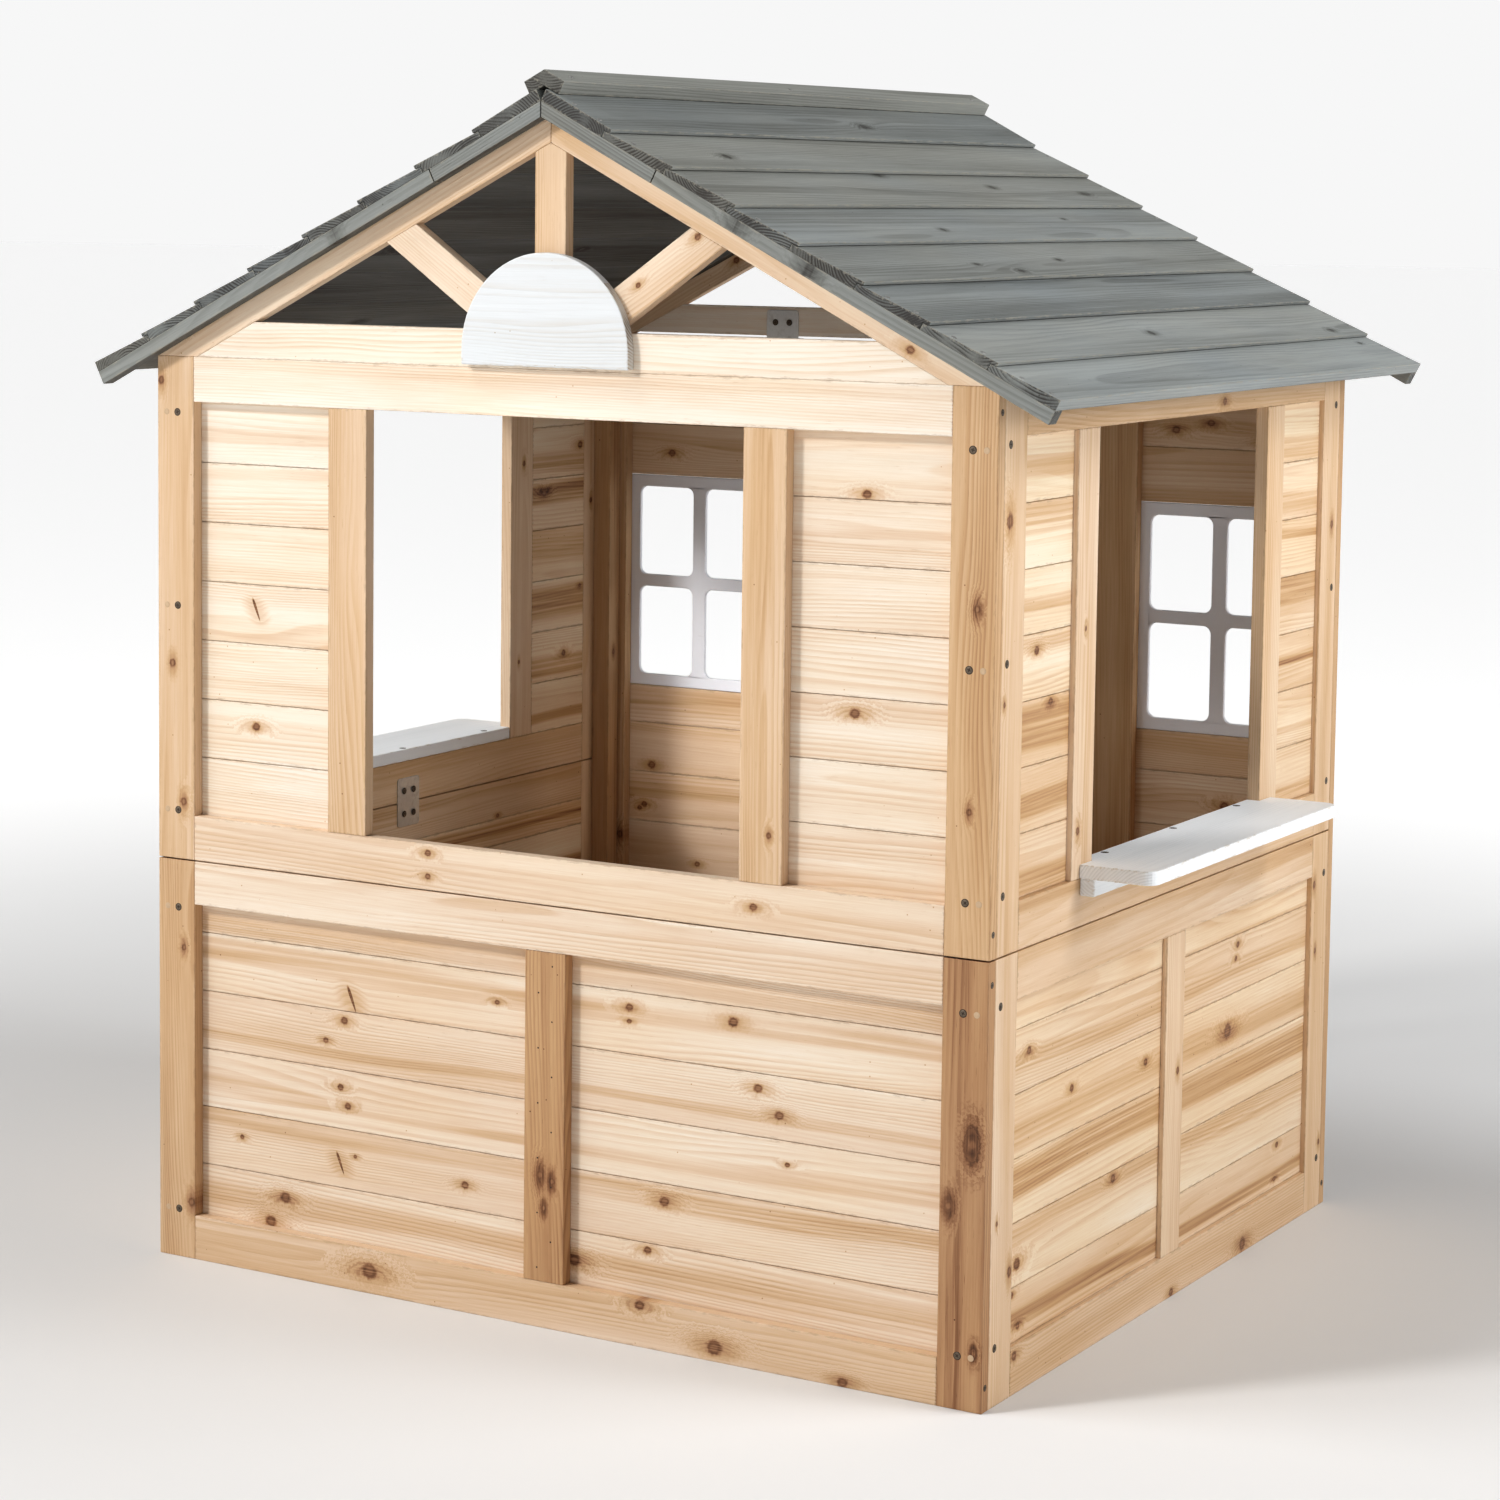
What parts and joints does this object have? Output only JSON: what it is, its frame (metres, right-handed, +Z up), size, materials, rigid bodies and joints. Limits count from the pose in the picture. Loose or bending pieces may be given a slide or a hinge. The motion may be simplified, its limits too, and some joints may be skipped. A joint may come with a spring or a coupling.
{
  "type": "playhouse",
  "caption": "Child's wooden playhouse: framed board walls, pitched boarded roof, front serving hatch, side openings with shelves, rear windows and a half-height rear door on hinges.",
  "frame": {"origin": "middle of the bounding box's footprint, on the ground", "axes": "+Z up, the front wall with the serving hatch faces -Y, the rear door faces +Y, +X is to the right seen from the front"},
  "size_m": [1.196, 1.007, 1.326],
  "materials": {
    "frame_wood": "planed softwood, bare, vertical grain with knots",
    "board_wood": "planed softwood boards, bare, with knots",
    "roof_wood": "softwood with a grey stain, grain showing through",
    "white_wood": "softwood with a thin white wash",
    "window_plastic": "white moulded plastic",
    "steel": "zinc-plated steel"
  },
  "bodies": {
    "house": {"front_lower_stiles": "frame_wood", "front_lower_rails": "frame_wood", "front_lower_batten": "frame_wood", "front_lower_boards": "board_wood", "front_upper_stiles": "frame_wood", "front_upper_rails": "frame_wood", "front_upper_uprights": "frame_wood", "front_upper_boards": "board_wood", "left_lower_stiles": "frame_wood", "left_lower_rails": "frame_wood", "left_lower_batten": "frame_wood", "left_lower_boards": "board_wood", "left_upper_stiles": "frame_wood", "left_upper_rails": "frame_wood", "left_upper_uprights": "frame_wood", "left_upper_boards": "board_wood", "right_lower_stiles": "frame_wood", "right_lower_rails": "frame_wood", "right_lower_batten": "frame_wood", "right_lower_boards": "board_wood", "right_upper_stiles": "frame_wood", "right_upper_rails": "frame_wood", "right_upper_uprights": "frame_wood", "right_upper_boards": "board_wood", "back_left_stiles": "frame_wood", "back_left_rails": "frame_wood", "back_left_boards": "board_wood", "back_right_stiles": "frame_wood", "back_right_rails": "frame_wood", "back_right_boards": "board_wood", "left_window_frame": "window_plastic", "right_window_frame": "window_plastic", "corner_posts": "frame_wood", "front_tie_beam": "frame_wood", "front_rafters": "frame_wood", "front_plaque": "white_wood", "back_tie_beam": "frame_wood", "back_rafters": "frame_wood", "king_posts": "frame_wood", "gable_struts": "frame_wood", "left_roof_boards": "roof_wood", "right_roof_boards": "roof_wood", "roof_battens": "roof_wood", "left_ridge_cap": "roof_wood", "right_ridge_cap": "roof_wood", "left_shelf": "white_wood", "right_shelf": "white_wood", "shelf_battens": "white_wood", "hinge_frame_leaves": "steel", "hinge_pins": "steel", "hinge_frame_screws": "steel", "mending_plates": "steel", "wall_screws": "steel", "roof_nails": "steel"},
    "door": {"door_stiles": "frame_wood", "door_rails": "frame_wood", "door_boards": "board_wood", "hinge_door_leaves": "steel", "hinge_door_screws": "steel"}
  },
  "joints": [
    {"name": "door_hinge", "type": "hinge", "parent": "house", "child": "door", "pos_m": [0.208, 0.4548, 0.2495], "axis": [0, 0, -1], "range_deg": [0, 150]}
  ]
}
